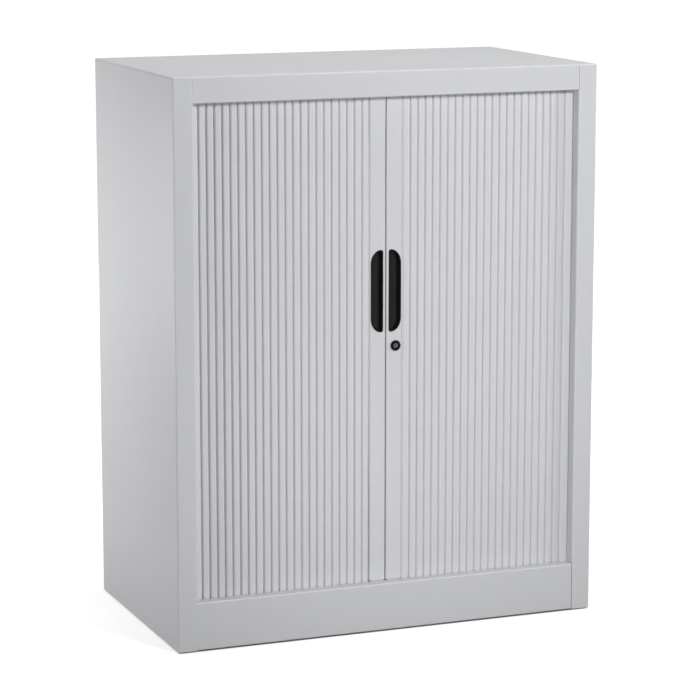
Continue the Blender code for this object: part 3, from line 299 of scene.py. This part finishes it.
def finish(name, color, worn_and_lit, gloss, grain, depth, patches=0.03, specks=0.02, wear_and_highlight=0.5, reach=0.001,
           metal=0.0, shine=0.5, painted_shade=0.4):
    """A finish: its colour, its edges lighter as wear and as a painted highlight, painted shade in its
    corners, its roughness, its relief and its metal.
    """
    material = bpy.data.materials.new(name)
    material.use_nodes = True
    tree = material.node_tree
    shader = tree.nodes["Principled BSDF"]
    tone = add_node(tree, "Group", node_tree=coat_tone)
    tone.inputs["Color"].default_value = (*color, 1.0)
    tone.inputs["Roughness"].default_value = gloss
    tone.inputs["Patches"].default_value = patches
    tone.inputs["Specks"].default_value = specks
    edges = add_node(tree, "Group", node_tree=edge_wear_and_highlight)
    edges.inputs["Reach"].default_value = reach
    edges.inputs["Amount"].default_value = wear_and_highlight
    # Edges and bends take the lighter edge colour: partly wear, partly a painted highlight.
    mixed = add_node(tree, "MixRGB", {"Fac": edges.outputs["Mask"], "Color1": tone.outputs["Color"],
                                      "Color2": (*worn_and_lit, 1.0)})
    # Painted shade: the colour darkens towards a third of itself in the piece's own grooves and corners.
    corners = add_node(tree, "Group", node_tree=groove_painted_shade)
    corners.inputs["Reach"].default_value = SHADE_REACH
    corners.inputs["Amount"].default_value = painted_shade
    shaded_color = add_node(tree, "MixRGB", {"Fac": corners.outputs["Mask"], "Color1": mixed.outputs[0],
                                      "Color2": (*(SHADE_DARKNESS * part for part in color), 1.0)})
    relief = add_node(tree, "Group", node_tree=surface_grain)
    relief.inputs["Across mm"].default_value = grain[0]
    relief.inputs["Upright mm"].default_value = grain[1]
    bump = add_node(tree, "Bump", {"Strength": 1.0, "Distance": depth, "Height": relief.outputs["Height"]})
    tree.links.new(shaded_color.outputs[0], shader.inputs["Base Color"])
    tree.links.new(tone.outputs["Roughness"], shader.inputs["Roughness"])
    tree.links.new(bump.outputs["Normal"], shader.inputs["Normal"])
    shader.inputs["Metallic"].default_value = metal
    shader.inputs["Specular IOR Level"].default_value = shine
    return material


def body_with(node):
    """The name of the body that a CAD node belongs to."""
    groups = frame["record"]["behaviour"]["bodies"]
    return next(body for body, members in groups.items() if node in members)


def merged_copy(node):
    """The CAD node's mesh with its loose triangles joined and its flats whole again."""
    shape = bmesh.new()
    shape.from_mesh(frame["nodes"][node].data)
    bmesh.ops.remove_doubles(shape, verts=shape.verts, dist=MERGE_REACH)
    bmesh.ops.dissolve_limit(shape, angle_limit=math.radians(FLAT_DEGREES), verts=shape.verts,
                             edges=shape.edges)
    return shape


def ease_edges(shape, ease, above=40.0):
    """Rounds each outward edge that turns by more than some degrees."""
    sharp = [edge for edge in shape.edges
             if len(edge.link_faces) == 2 and edge.calc_face_angle_signed(0.0) > math.radians(above)]
    bmesh.ops.bevel(shape, geom=sharp, offset=ease, offset_type="OFFSET", segments=EASE_STEPS, profile=0.5,
                    affect="EDGES", material=-1, clamp_overlap=True)


def make_piece(shape, name, material, body, smooth_below=50.0):
    """The finished mesh as a piece that rides on its body and shades smoothly over its small turns."""
    mesh = bpy.data.meshes.new(name)
    shape.to_mesh(mesh)
    shape.free()
    mesh.materials.append(material)
    mesh.shade_smooth()
    mesh.set_sharp_from_angle(angle=math.radians(smooth_below))
    piece = bpy.data.objects.new(name, mesh)
    bpy.context.scene.collection.objects.link(piece)
    even = piece.modifiers.new("even_shading", "WEIGHTED_NORMAL")
    even.keep_sharp = True
    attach(piece, body)
    return piece


def dressed(node, material, ease):
    """A CAD node's part with its edges eased and its finish on, in the node's place."""
    shape = merged_copy(node)
    ease_edges(shape, ease)
    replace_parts(make_piece(shape, f"{node}_dressed", material, body_with(node)), node)


# Its wide reach spreads the painted highlight over the folded bends.
powder_coat = finish("powder_coat", COAT_COLOR, COAT_WORN_AND_LIT, gloss=0.46, grain=(1.6, 1.6), depth=0.000012,
                     wear_and_highlight=0.6, reach=0.003)
dressed("base_panel", powder_coat, COAT_EASE)


# Plinth panel: one folded sheet below the doors, its ledge bent over with a small radius and its ends
# butted between the stiles.
ON_ARC = 0.00003
SEAM_EASE = 0.00008
PANEL_END_X = 0.3637
LEFT_END_X = -0.36394


def dressed_cross_panel(node, right_end):
    """A panel whose left end comes up to its stile, and whose right end leaves a little more room."""
    shape = merged_copy(node)
    for vert in shape.verts:
        if abs(abs(vert.co.x) - PANEL_END_X) < ON_ARC:
            vert.co.x = LEFT_END_X if vert.co.x < 0 else right_end
    ease_edges(shape, SEAM_EASE)
    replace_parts(make_piece(shape, f"{node}_dressed", powder_coat, "carcass"), node)


dressed_cross_panel("plinth_panel", right_end=0.3627)


# Side panels: each is one sheet that makes the rear flange, the side, the front stile and the stile's
# return into the door opening.
STILE_X = 0.364
FRONT_Y = -0.230
RETURN_END_Y = -0.2102
RETURN_NEARER = 0.0020
CAD_BEND, STILE_BEND, RETURN_BEND = 0.0025, 0.0008, 0.0010
SIDE_EASE = 0.00010


def tighter_bend(shape, axes, corner, inward, old, new):
    """Gives a fold's outer face a smaller radius; inward is the way from its sharp corner into the metal."""
    for vert in shape.verts:
        out = [old - (vert.co[axis] - place) * way for axis, place, way in zip(axes, corner, inward)]
        if min(out) > -ON_ARC and abs(math.hypot(*out) - old) < ON_ARC:
            for axis, place, way, part in zip(axes, corner, inward, out):
                vert.co[axis] = place + way * (new - part * new / old)


for side, sign in (("left", -1), ("right", 1)):
    shape = merged_copy(f"side_panel_{side}")
    if side == "left":
        tighter_bend(shape, (0, 1), (sign * STILE_X, FRONT_Y), (sign, 1), CAD_BEND, STILE_BEND)
    tighter_bend(shape, (0, 1), (sign * STILE_X, RETURN_END_Y), (sign, -1), CAD_BEND, RETURN_BEND)
    for vert in shape.verts:
        if RETURN_END_Y - CAD_BEND - ON_ARC < vert.co.y < RETURN_END_Y + ON_ARC:
            vert.co.y += RETURN_NEARER
    ease_edges(shape, SIDE_EASE)
    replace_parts(make_piece(shape, f"side_panel_{side}_dressed", powder_coat, "carcass"),
                f"side_panel_{side}")


# Back panel: a sheet behind the rear flanges with its field and three ribs pressed in. The coat there is
# thinner and a little rougher.
back_coat = finish("back_coat", (0.585, 0.590, 0.603), COAT_WORN_AND_LIT, gloss=0.55, grain=(1.9, 1.9),
                   depth=0.000016, patches=0.05)
dressed("back_panel", back_coat, COAT_EASE)


# Back rivets: coated blind rivets with a hollow middle that hold the back panel's field to the rear
# flanges of the base panel and of the inner top panel.
RIVET_FACE_Y = 0.2257
RIVET_COLUMNS, RIVET_ROWS = (-0.277, -0.083, 0.083, 0.277), (0.0645, 0.9822)
RIVET_PROFILE = [(0.0, 0.0), (0.0031, 0.0), (0.0031, 0.0002), (0.0026, 0.0007), (0.0017, 0.0009),
                 (0.0012, 0.0009), (0.0010, 0.0003), (0.0, 0.0003)]


def turned_on(shape, profile, steps, ring=False):
    """Spins a profile of radius and height about Z, closed where it is a ring; gives the new vertices."""
    before = set(shape.verts)
    verts = [shape.verts.new((radius, 0.0, height)) for radius, height in profile]
    edges = [shape.edges.new(pair) for pair in zip(verts, verts[1:] + (verts[:1] if ring else []))]
    bmesh.ops.spin(shape, geom=verts + edges, cent=(0, 0, 0), axis=(0, 0, 1), angle=2 * math.pi,
                   steps=steps, use_merge=True)
    made = [vert for vert in shape.verts if vert not in before]
    bmesh.ops.remove_doubles(shape, verts=made, dist=0.00001)
    return [vert for vert in shape.verts if vert not in before]


rivets = bmesh.new()
for x in RIVET_COLUMNS:
    for z in RIVET_ROWS:
        head = turned_on(rivets, RIVET_PROFILE, steps=20)
        bmesh.ops.transform(rivets, verts=head, matrix=Matrix.Translation((x, RIVET_FACE_Y, z))
                            @ Matrix.Rotation(math.radians(-90), 4, "X"))
bmesh.ops.recalc_face_normals(rivets, faces=rivets.faces)
make_piece(rivets, "back_rivets", back_coat, "carcass")


# Levelling feet: a black moulded pad on a zinc-plated stem, with its lock nut and the bracket under the
# base that it screws through.
FEET = ("front_left", "front_right", "rear_left", "rear_right")
zinc_plate = finish("zinc_plate", (0.66, 0.67, 0.70), (0.75, 0.76, 0.78), gloss=0.38, grain=(0.5, 0.5),
                    depth=0.000006, patches=0.16, specks=0.12, wear_and_highlight=0.4, reach=0.0006, metal=1.0)
foot_black = finish("foot_black", (0.020, 0.020, 0.021), (0.05, 0.05, 0.05), gloss=0.55, grain=(0.4, 0.4),
                    depth=0.00002, patches=0.2, specks=0.2)
PAD_PROFILE = [(0.0, 0.0), (0.0168, 0.0), (0.0177, 0.0004), (0.0180, 0.0012), (0.0180, 0.0026),
               (0.0176, 0.0034), (0.0118, 0.0094), (0.0110, 0.0099), (0.0100, 0.0100), (0.0046, 0.0100),
               (0.0043, 0.0097), (0.0043, 0.0040), (0.0, 0.0040)]
STEM_CORE, STEM_CREST, COLLAR_RADIUS = 0.0034, 0.0040, 0.0080
COLLAR_LOW_Z, COLLAR_HIGH_Z, ROUND_OVER = 0.0260, 0.0320, 0.0005
THREAD_PITCH = 0.00125
STEM_EASE, CHAMFER, CHAMFER_TALL = 0.0003, 0.0006, 0.0008
NUT_EASE, PLATE_EASE = 0.0004, 0.0002


def stem_profile(low_z, high_z):
    """A levelling screw: a plain foot, a round collar and a thread up to its chamfered end."""
    profile = [(0.0, low_z), (STEM_CREST - STEM_EASE, low_z), (STEM_CREST, low_z + STEM_EASE),
               (STEM_CREST, COLLAR_LOW_Z),
               (COLLAR_RADIUS - ROUND_OVER, COLLAR_LOW_Z), (COLLAR_RADIUS, COLLAR_LOW_Z + ROUND_OVER),
               (COLLAR_RADIUS, COLLAR_HIGH_Z - ROUND_OVER), (COLLAR_RADIUS - ROUND_OVER, COLLAR_HIGH_Z)]
    turns = int((high_z - COLLAR_HIGH_Z) / THREAD_PITCH) - 1
    for turn in range(turns):
        z = COLLAR_HIGH_Z + turn * THREAD_PITCH
        profile += [(STEM_CORE, z), (STEM_CORE, z + THREAD_PITCH * 0.2),
                    (STEM_CREST, z + THREAD_PITCH * 0.5), (STEM_CREST, z + THREAD_PITCH * 0.7)]
    return profile + [(STEM_CORE, high_z - CHAMFER_TALL), (STEM_CORE - CHAMFER, high_z), (0.0, high_z)]


for place in FEET:
    low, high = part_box(f"foot_stem_{place}")
    centre = ((low[0] + high[0]) / 2, (low[1] + high[1]) / 2, 0.0)
    for node, profile, finish_on, slot in (
            (f"foot_pad_{place}", PAD_PROFILE, foot_black, "foot_pad"),
            (f"foot_stem_{place}", stem_profile(low[2], high[2]), zinc_plate, "plated_steel")):
        shape = bmesh.new()
        bmesh.ops.translate(shape, verts=turned_on(shape, profile, steps=36), vec=centre)
        bmesh.ops.recalc_face_normals(shape, faces=shape.faces)
        piece = make_piece(shape, f"{node}_turned", finish_on, body_with(node), smooth_below=35.0)
        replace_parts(piece, node)
    dressed(f"foot_nut_{place}", zinc_plate, NUT_EASE)
    dressed(f"foot_bracket_{place}", zinc_plate, PLATE_EASE)


# Adjuster caps: grey moulded plugs that close the holes in the base panel above the feet, so that the
# feet can be turned with a key from inside.
CAP_COLUMNS, CAP_ROWS = (-0.340, 0.340), (-0.155, 0.170)
CAP_SEAT_Z = 0.0772
CAP_PROFILE = [(0.0, 0.0014), (0.0052, 0.0013), (0.0076, 0.0009), (0.0083, 0.0004), (0.0083, 0.0),
               (0.0061, 0.0), (0.0061, -0.0034), (0.0056, -0.0042), (0.0, -0.0042)]
cap_plastic = finish("cap_plastic", (0.55, 0.555, 0.565), (0.62, 0.625, 0.635), gloss=0.40,
                     grain=(0.3, 0.3), depth=0.000008)
caps = bmesh.new()
for x in CAP_COLUMNS:
    for y in CAP_ROWS:
        cap = turned_on(caps, CAP_PROFILE, steps=28)
        bmesh.ops.translate(caps, verts=cap, vec=(x, y, CAP_SEAT_Z))
bmesh.ops.recalc_face_normals(caps, faces=caps.faces)
make_piece(caps, "adjuster_caps", cap_plastic, "carcass")


# Guide tracks: grey plastic channels, extruded, heat-bent round the front corner and snapped to the base
# and to the inner top.
track_plastic = finish("track_plastic", (0.60, 0.606, 0.618), (0.66, 0.665, 0.675), gloss=0.42,
                       grain=(0.5, 0.5), depth=0.000005)
TRACK_EASE = 0.0002
for level in ("bottom", "top"):
    for side in ("left", "right"):
        dressed(f"guide_track_{level}_{side}", track_plastic, TRACK_EASE)


# Liners: the coated inner walls that part the storage space from the hollow where the curtains go, with
# their front corners bent along the tracks.
for side in ("left", "right"):
    dressed(f"liner_{side}", powder_coat, COAT_EASE)


# Shelf uprights, clips and shelves: slotted strips on the liners, zinc-plated clips hooked into them, and
# two coated shelves with their edges folded down.
SLOT_EASE = 0.0001
CLIPS = 8
for end in ("front", "rear"):
    for side in ("left", "right"):
        dressed(f"shelf_upright_{end}_{side}", powder_coat, SLOT_EASE)
for number in range(1, CLIPS + 1):
    dressed(f"shelf_clip_{number}", zinc_plate, PLATE_EASE)
for level in ("lower", "upper"):
    dressed(f"shelf_{level}", powder_coat, COAT_EASE)


# Top: an inner tray that carries the upper tracks, and over it the lid with the header folded down
# between the stiles.
dressed("inner_top_panel", powder_coat, COAT_EASE)
dressed_cross_panel("top_panel", right_end=0.36335)


# Tambour curtains: grey extruded ribs with wide shoulders, joined by thin webs. When a door opens, its
# curtain runs round the front corner into the side wall; here each curtain gets a mesh of its own.
RIB_EASE = 0.00025
RIB_PITCH = 0.01435
RIB_FACE_Y, RIB_EDGE_Y = -0.2072, -0.2066
SHOULDER, SHOULDER_DEEP = 0.0009, 0.0007
WEB_FRONT_Y, WEB_BACK_Y, WEB_DEEPER = -0.2034, -0.2024, 0.0016
GROOVE_BACK_Y, FIRST_GROOVE_Y = -0.2030, -0.2064
CURTAIN_END_X, END_REACH = 0.0316, 0.0002
LAST_RIB_X = 0.3591
# The ribs get painted shade in their grooves, and a painted highlight on their edges that is broken like
# wear.
rib_plastic = finish("rib_plastic", (0.650, 0.656, 0.668), (0.84, 0.845, 0.855), gloss=0.45,
                     grain=(0.8, 60.0), depth=0.000008, wear_and_highlight=0.9, reach=0.0014, painted_shade=0.27)
for side, sign in (("left", -1), ("right", 1)):
    node = f"curtain_{side}"
    shape = merged_copy(node)
    for vert in shape.verts:
        away = abs(vert.co.x)
        # The end beside the lead stile is flush on the left and a shallow step on the right, and the last
        # strip, behind the side stile, is flat. Elsewhere the webs go deeper and the shoulders are wider.
        if vert.co.y < GROOVE_BACK_Y and away < CURTAIN_END_X + END_REACH:
            vert.co.y = RIB_FACE_Y if side == "left" else FIRST_GROOVE_Y
        elif vert.co.y < GROOVE_BACK_Y and LAST_RIB_X < away < STILE_X:
            vert.co.y = RIB_FACE_Y
        elif away < LAST_RIB_X:
            across = (away - CURTAIN_END_X) % RIB_PITCH
            if WEB_FRONT_Y - ON_ARC < vert.co.y < WEB_BACK_Y + ON_ARC:
                vert.co.y += WEB_DEEPER
            elif abs(vert.co.y - RIB_EDGE_Y) < ON_ARC:
                vert.co.y += SHOULDER_DEEP
            elif abs(vert.co.y - RIB_FACE_Y) < ON_ARC:
                vert.co.x += sign * (SHOULDER if across < RIB_PITCH / 2 else -SHOULDER)
    ease_edges(shape, RIB_EASE, above=20.0)
    curtain = make_piece(shape, f"{node}_dressed", rib_plastic, body_with(node),
                         smooth_below=60.0)
    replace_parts(curtain, node)
    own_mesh(curtain)


# Lead stiles: aluminium channels, open at the back, coated to match, with a grey moulded shoe in each
# end that runs in the track.
lead_coat = finish("lead_coat", (0.632, 0.638, 0.652), (0.72, 0.725, 0.735), gloss=0.40, grain=(0.7, 90.0),
                   depth=0.000006)
shoe_plastic = finish("shoe_plastic", (0.56, 0.566, 0.578), (0.64, 0.645, 0.655), gloss=0.45,
                      grain=(0.3, 0.3), depth=0.00001)
LEAD_EASE, SHOE_EASE = 0.0003, 0.0003
for side in ("left", "right"):
    dressed(f"lead_stile_{side}", lead_coat, LEAD_EASE)
    for level in ("bottom", "top"):
        dressed(f"guide_shoe_{level}_{side}", shoe_plastic, SHOE_EASE)


# Strike plate: a zinc-plated strip inside the left lead stile, beside the slot in its edge, which the
# lock's hook catches.
dressed("strike_plate", zinc_plate, PLATE_EASE)


# Grip cups: black mouldings with a smooth D-shaped bowl for the fingers, pressed into the lead stiles
# from the front up to their thin bezel.
grip_black = finish("grip_black", (0.0125, 0.0130, 0.0140), (0.016, 0.016, 0.018), gloss=0.42,
                    grain=(0.35, 0.35), depth=0.00001, patches=0.15, specks=0.15, shine=0.10)
GRIP_IN_X, GRIP_OUT_X = 0.0053, 0.0290
GRIP_MIDDLE_Z, GRIP_HALF = 0.6180, 0.0740
GRIP_TIP, GRIP_TALL = 0.0040, 0.0255
GRIP_BACK_Y, BEZEL_BACK_Y, BEZEL_EDGE_Y, BEZEL_FRONT_Y = -0.1952, -0.2075, -0.2078, -0.2081
BODY_INSET, BEZEL_EASE, RIM_EASE = 0.0011, 0.0003, 0.0004
BOWL_RIM, BOWL_SLOPE, BOWL_DEPTH = 0.0018, 0.0072, 0.0113
TIP_STEPS, TALL_STEPS, BOWL_STEPS = 6, 18, 12


def arc_points(centre, across, upright, start, end, steps):
    """Points on an ellipse's arc between two angles in degrees, as pairs of X and Z."""
    turns = [math.radians(start + (end - start) * step / steps) for step in range(steps + 1)]
    return [(centre[0] + across * math.cos(turn), centre[1] + upright * math.sin(turn)) for turn in turns]


def grip_outline(inset):
    """The grip's D: straight beside the meeting line, with long round corners on the other side."""
    in_x, out_x = GRIP_IN_X + inset, GRIP_OUT_X - inset
    share = (out_x - in_x) / (GRIP_OUT_X - GRIP_IN_X)
    tip, tall, top = GRIP_TIP * share, GRIP_TALL * share, GRIP_HALF - inset
    tip_x, wide = in_x + tip, out_x - in_x - tip
    half = arc_points((tip_x, top - tip), tip, tip, 180, 90, TIP_STEPS)
    half += arc_points((tip_x, top - tall), wide, tall, 90, 0, TALL_STEPS)[1:]
    return half + [(x, -z) for x, z in reversed(half)]


def ringed(rings):
    """A closed body drawn out from its first ring through the others, which have as many points each."""
    shape = bmesh.new()
    end = shape.faces.new([shape.verts.new(point) for point in rings[0]])
    for ring in rings[1:]:
        end = bmesh.ops.extrude_discrete_faces(shape, faces=[end])["faces"][0]
        for vert, point in zip(end.verts, ring):
            vert.co = point
    bmesh.ops.holes_fill(shape, edges=[edge for edge in shape.edges if edge.is_boundary], sides=0)
    bmesh.ops.recalc_face_normals(shape, faces=shape.faces)
    if shape.calc_volume(signed=True) < 0:
        bmesh.ops.reverse_faces(shape, faces=shape.faces)
    return shape


levels = [(BODY_INSET, GRIP_BACK_Y), (BODY_INSET, BEZEL_BACK_Y), (0.0, BEZEL_BACK_Y), (0.0, BEZEL_EDGE_Y),
          (BEZEL_EASE, BEZEL_FRONT_Y), (BOWL_RIM - RIM_EASE, BEZEL_FRONT_Y)]
for step in range(BOWL_STEPS + 1):
    turn = math.pi / 2 * step / BOWL_STEPS
    inset, y = BOWL_RIM + BOWL_SLOPE * (1 - math.cos(turn)), BEZEL_EDGE_Y + BOWL_DEPTH * math.sin(turn)
    levels.append((inset, y))
for side, sign in (("left", -1), ("right", 1)):
    node = f"grip_cup_{side}"
    shape = ringed([[(sign * x, y, GRIP_MIDDLE_Z + z) for x, z in grip_outline(inset)]
                    for inset, y in levels])
    piece = make_piece(shape, f"{node}_moulded", grip_black, body_with(node), smooth_below=40.0)
    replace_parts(piece, node)


# Lock: a black moulded housing with a rolled lip, held by a nut from behind, and the plated plug that the
# key turns with its hook and hook screw.
lock_black = finish("lock_black", (0.0045, 0.0047, 0.0052), (0.008, 0.008, 0.009), gloss=0.36,
                    grain=(0.3, 0.3), depth=0.000006, shine=0.05)
plug_plate = finish("plug_plate", (0.095, 0.095, 0.100), (0.20, 0.20, 0.21), gloss=0.42, grain=(0.25, 0.25),
                    depth=0.000006, patches=0.2, specks=0.15, reach=0.0005, metal=1.0)
LOCK_PLACE = (0.01845, -0.2072, 0.5187)
HOUSING_PROFILE = [(0.0057, -0.0087), (0.0072, -0.0087), (0.0072, 0.0003), (0.0092, 0.0003),
                   (0.0092, 0.0023), (0.0091, 0.0028), (0.0087, 0.0032), (0.0080, 0.0035),
                   (0.0069, 0.0035), (0.0056, 0.0034), (0.0050, 0.0033), (0.0046, 0.0031),
                   (0.0044, 0.0028), (0.0044, 0.0021), (0.0057, 0.0021)]
PLUG_FACE_Y, PLUG_BACK = -0.2103, 0.0012
housing = bmesh.new()
ring = turned_on(housing, HOUSING_PROFILE, steps=56, ring=True)
bmesh.ops.transform(housing, verts=ring, matrix=Matrix.Translation(LOCK_PLACE)
                    @ Matrix.Rotation(math.radians(90), 4, "X"))
bmesh.ops.recalc_face_normals(housing, faces=housing.faces)
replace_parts(make_piece(housing, "lock_housing_turned", lock_black,
                       body_with("lock_housing"), smooth_below=35.0), "lock_housing")
plug = merged_copy("lock_plug")
for vert in plug.verts:
    if vert.co.y < PLUG_FACE_Y + ON_ARC:
        vert.co.y += PLUG_BACK
ease_edges(plug, PLATE_EASE)
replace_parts(make_piece(plug, "lock_plug_dressed", plug_plate, body_with("lock_plug")),
            "lock_plug")
for node in ("lock_nut", "lock_hook", "hook_screw"):
    dressed(node, zinc_plate, PLATE_EASE)


low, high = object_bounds()
